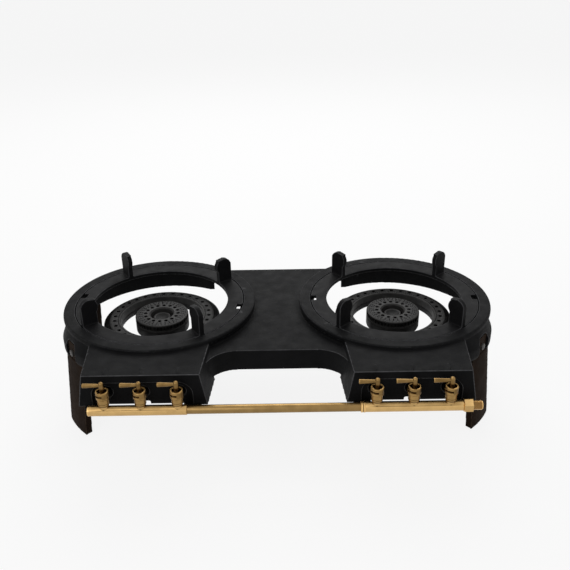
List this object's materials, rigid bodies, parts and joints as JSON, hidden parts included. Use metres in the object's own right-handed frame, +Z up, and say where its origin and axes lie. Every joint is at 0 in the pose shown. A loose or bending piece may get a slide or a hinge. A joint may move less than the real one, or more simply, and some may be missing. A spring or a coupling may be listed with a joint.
{
  "type": "two-ring camping stove",
  "caption": "Low cast-iron camping stove with hearth rings joined by a table, ring burners, finned pan supports, splayed legs and a brass pipe with lever taps.",
  "frame": {"origin": "centre of the footprint on the floor, at the underside of the legs", "axes": "+X to the user's right along the pipe, +Y away from the user, +Z up"},
  "size_m": [0.6914, 0.3742, 0.209],
  "materials": {
    "iron": "matt black, sand-cast",
    "burner_iron": "matt black, sand-cast",
    "leg_iron": "matt brownish black",
    "brass": "satin",
    "steel": "blackened"
  },
  "bodies": {
    "stove": {"stove_body": "iron", "leg_front_left": "leg_iron", "leg_front_right": "leg_iron", "leg_back_left": "leg_iron", "leg_back_right": "leg_iron", "outer_cap_left": "burner_iron", "outer_base_left": "burner_iron", "middle_cap_left": "burner_iron", "middle_base_left": "burner_iron", "centre_cap_left": "burner_iron", "centre_base_left": "burner_iron", "outer_cap_right": "burner_iron", "outer_base_right": "burner_iron", "middle_cap_right": "burner_iron", "middle_base_right": "burner_iron", "centre_cap_right": "burner_iron", "centre_base_right": "burner_iron", "burner_bar_left": "steel", "burner_bar_right": "steel", "leg_screws": "steel", "leg_nuts": "steel", "bar_screws": "steel", "clip_screws": "steel", "manifold_left": "brass", "manifold_right": "brass", "link_pipe": "brass", "coupling": "brass", "end_plug": "brass", "inlet_nut": "brass", "inlet_nipple": "brass", "tap_body_1": "brass", "tap_body_2": "brass", "tap_body_3": "brass", "tap_body_4": "brass", "tap_body_5": "brass", "tap_body_6": "brass", "tap_bonnet_1": "brass", "tap_bonnet_2": "brass", "tap_bonnet_3": "brass", "tap_bonnet_4": "brass", "tap_bonnet_5": "brass", "tap_bonnet_6": "brass", "jets": "brass", "clip_1": "iron", "clip_2": "iron", "clip_3": "iron", "clip_4": "iron"},
    "pan_support_left": {"trivet_left": "iron"},
    "pan_support_right": {"trivet_right": "iron"},
    "lever_1": {"tap_lever_1": "brass"},
    "lever_2": {"tap_lever_2": "brass"},
    "lever_3": {"tap_lever_3": "brass"},
    "lever_4": {"tap_lever_4": "brass"},
    "lever_5": {"tap_lever_5": "brass"},
    "lever_6": {"tap_lever_6": "brass"}
  },
  "joints": [
    {"name": "tap_1_turn", "type": "hinge", "parent": "stove", "child": "lever_1", "pos_m": [-0.235, -0.17788, 0.137], "axis": [0, 0, 1], "range_deg": [0, 90]},
    {"name": "tap_2_turn", "type": "hinge", "parent": "stove", "child": "lever_2", "pos_m": [-0.185, -0.17788, 0.137], "axis": [0, 0, 1], "range_deg": [0, 90]},
    {"name": "tap_3_turn", "type": "hinge", "parent": "stove", "child": "lever_3", "pos_m": [-0.135, -0.17788, 0.137], "axis": [0, 0, 1], "range_deg": [0, 90]},
    {"name": "tap_4_turn", "type": "hinge", "parent": "stove", "child": "lever_4", "pos_m": [0.135, -0.17788, 0.137], "axis": [0, 0, 1], "range_deg": [0, 90]},
    {"name": "tap_5_turn", "type": "hinge", "parent": "stove", "child": "lever_5", "pos_m": [0.185, -0.17788, 0.137], "axis": [0, 0, 1], "range_deg": [0, 90]},
    {"name": "tap_6_turn", "type": "hinge", "parent": "stove", "child": "lever_6", "pos_m": [0.235, -0.17788, 0.137], "axis": [0, 0, 1], "range_deg": [0, 90]},
    {"name": "pan_support_left_lift", "type": "slide", "parent": "stove", "child": "pan_support_left", "axis": [0, 0, 1], "range_m": [0, 0.06]},
    {"name": "pan_support_right_lift", "type": "slide", "parent": "stove", "child": "pan_support_right", "axis": [0, 0, 1], "range_m": [0, 0.06]}
  ]
}
